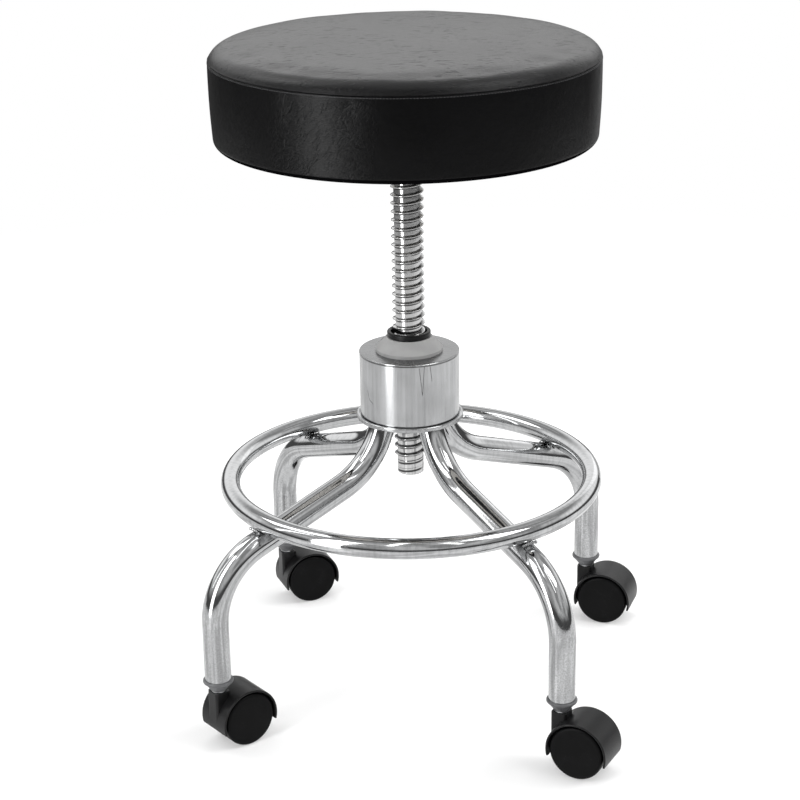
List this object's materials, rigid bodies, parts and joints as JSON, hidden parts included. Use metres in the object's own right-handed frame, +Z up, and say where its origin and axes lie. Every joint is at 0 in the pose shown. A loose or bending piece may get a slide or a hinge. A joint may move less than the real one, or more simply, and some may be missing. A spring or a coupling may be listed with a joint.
{
  "type": "dentist stool",
  "caption": "Round padded stool whose seat climbs on a coarse lift screw in a drum hub, on bent tube legs with a welded foot ring and twin-wheel casters.",
  "frame": {"origin": "on the floor, on the spindle's axis, with the wheels standing on the plane z = 0", "axes": "+Z up along the spindle; the legs point between X and Y, leg 1 between +X and -Y, and -Y is the front"},
  "size_m": [0.4006, 0.4, 0.6444],
  "materials": {
    "black_vinyl": "satin",
    "foam": "matte",
    "plywood": "matte",
    "black_steel": "satin",
    "zinc_steel": "satin",
    "screw_steel": "satin",
    "weld": "matte",
    "bronze": "satin",
    "black_rubber": "satin",
    "grey_metal": "matte",
    "polished_steel": "satin",
    "chrome_tube": "polished",
    "grey_plastic": "satin",
    "black_plastic": "satin",
    "black_wheel": "matte"
  },
  "bodies": {
    "base": {"nut_sleeve": "screw_steel", "nut_thread": "bronze", "top_bush": "grey_metal", "hub_shell": "polished_steel", "hub_dish": "polished_steel", "hub_welds": "weld", "foot_ring": "chrome_tube", "ring_welds": "weld", "leg_1": "chrome_tube", "caster_socket_1": "grey_plastic", "caster_stem_1": "zinc_steel", "grip_ring_1": "zinc_steel", "leg_2": "chrome_tube", "caster_socket_2": "grey_plastic", "caster_stem_2": "zinc_steel", "grip_ring_2": "zinc_steel", "leg_3": "chrome_tube", "caster_socket_3": "grey_plastic", "caster_stem_3": "zinc_steel", "grip_ring_3": "zinc_steel", "leg_4": "chrome_tube", "caster_socket_4": "grey_plastic", "caster_stem_4": "zinc_steel", "grip_ring_4": "zinc_steel"},
    "wiper": {"wiper_ring": "black_rubber"},
    "seat": {"seat_top_panel": "black_vinyl", "seat_side_band": "black_vinyl", "seat_foam": "foam", "seat_board": "plywood", "seat_plate": "black_steel", "seat_neck": "black_steel", "seat_bolts": "zinc_steel", "tee_nuts": "zinc_steel", "spindle_tube": "screw_steel", "spindle_thread": "screw_steel", "spindle_weld": "weld"},
    "caster_1": {"caster_hood_1": "black_plastic", "caster_axle_1": "zinc_steel"},
    "wheel_1_left": {"wheel_1_left": "black_wheel"},
    "wheel_1_right": {"wheel_1_right": "black_wheel"},
    "caster_2": {"caster_hood_2": "black_plastic", "caster_axle_2": "zinc_steel"},
    "wheel_2_left": {"wheel_2_left": "black_wheel"},
    "wheel_2_right": {"wheel_2_right": "black_wheel"},
    "caster_3": {"caster_hood_3": "black_plastic", "caster_axle_3": "zinc_steel"},
    "wheel_3_left": {"wheel_3_left": "black_wheel"},
    "wheel_3_right": {"wheel_3_right": "black_wheel"},
    "caster_4": {"caster_hood_4": "black_plastic", "caster_axle_4": "zinc_steel"},
    "wheel_4_left": {"wheel_4_left": "black_wheel"},
    "wheel_4_right": {"wheel_4_right": "black_wheel"}
  },
  "joints": [
    {"name": "seat_turn", "type": "hinge", "parent": "base", "child": "wiper", "pos_m": [0, 0, 0.36], "axis": [0, 0, 1], "range_deg": [-7200, 1440]},
    {"name": "seat_lift", "type": "slide", "parent": "wiper", "child": "seat", "axis": [0, 0, 1], "range_m": [-0.1601, 0.0321]},
    {"name": "caster_1_swivel", "type": "hinge", "parent": "base", "child": "caster_1", "pos_m": [0.16101, -0.16101, 0.06], "axis": [0, 0, 1], "continuous": true},
    {"name": "wheel_1_left_spin", "type": "hinge", "parent": "caster_1", "child": "wheel_1_left", "pos_m": [0.18182, -0.16813, 0.026], "axis": [0.3239, 0.9461, 0], "continuous": true},
    {"name": "wheel_1_right_spin", "type": "hinge", "parent": "caster_1", "child": "wheel_1_right", "pos_m": [0.18182, -0.16813, 0.026], "axis": [0.3239, 0.9461, 0], "continuous": true},
    {"name": "caster_2_swivel", "type": "hinge", "parent": "base", "child": "caster_2", "pos_m": [0.16101, 0.16101, 0.06], "axis": [0, 0, 1], "continuous": true},
    {"name": "wheel_2_left_spin", "type": "hinge", "parent": "caster_2", "child": "wheel_2_left", "pos_m": [0.18264, 0.157, 0.026], "axis": [0.1822, 0.9833, 0], "continuous": true},
    {"name": "wheel_2_right_spin", "type": "hinge", "parent": "caster_2", "child": "wheel_2_right", "pos_m": [0.18264, 0.157, 0.026], "axis": [0.1822, 0.9833, 0], "continuous": true},
    {"name": "caster_3_swivel", "type": "hinge", "parent": "base", "child": "caster_3", "pos_m": [-0.16101, 0.16101, 0.06], "axis": [0, 0, 1], "continuous": true},
    {"name": "wheel_3_left_spin", "type": "hinge", "parent": "caster_3", "child": "wheel_3_left", "pos_m": [-0.14196, 0.17201, 0.026], "axis": [-0.5, 0.866, 0], "continuous": true},
    {"name": "wheel_3_right_spin", "type": "hinge", "parent": "caster_3", "child": "wheel_3_right", "pos_m": [-0.14196, 0.17201, 0.026], "axis": [-0.5, 0.866, 0], "continuous": true},
    {"name": "caster_4_swivel", "type": "hinge", "parent": "base", "child": "caster_4", "pos_m": [-0.16101, -0.16101, 0.06], "axis": [0, 0, 1], "continuous": true},
    {"name": "wheel_4_left_spin", "type": "hinge", "parent": "caster_4", "child": "wheel_4_left", "pos_m": [-0.14581, -0.1451, 0.026], "axis": [-0.723, 0.6909, 0], "continuous": true},
    {"name": "wheel_4_right_spin", "type": "hinge", "parent": "caster_4", "child": "wheel_4_right", "pos_m": [-0.14581, -0.1451, 0.026], "axis": [-0.723, 0.6909, 0], "continuous": true}
  ],
  "couplings": [
    {"joint": "seat_lift", "follows": "seat_turn", "m_per_rad": 0.0012732}
  ]
}
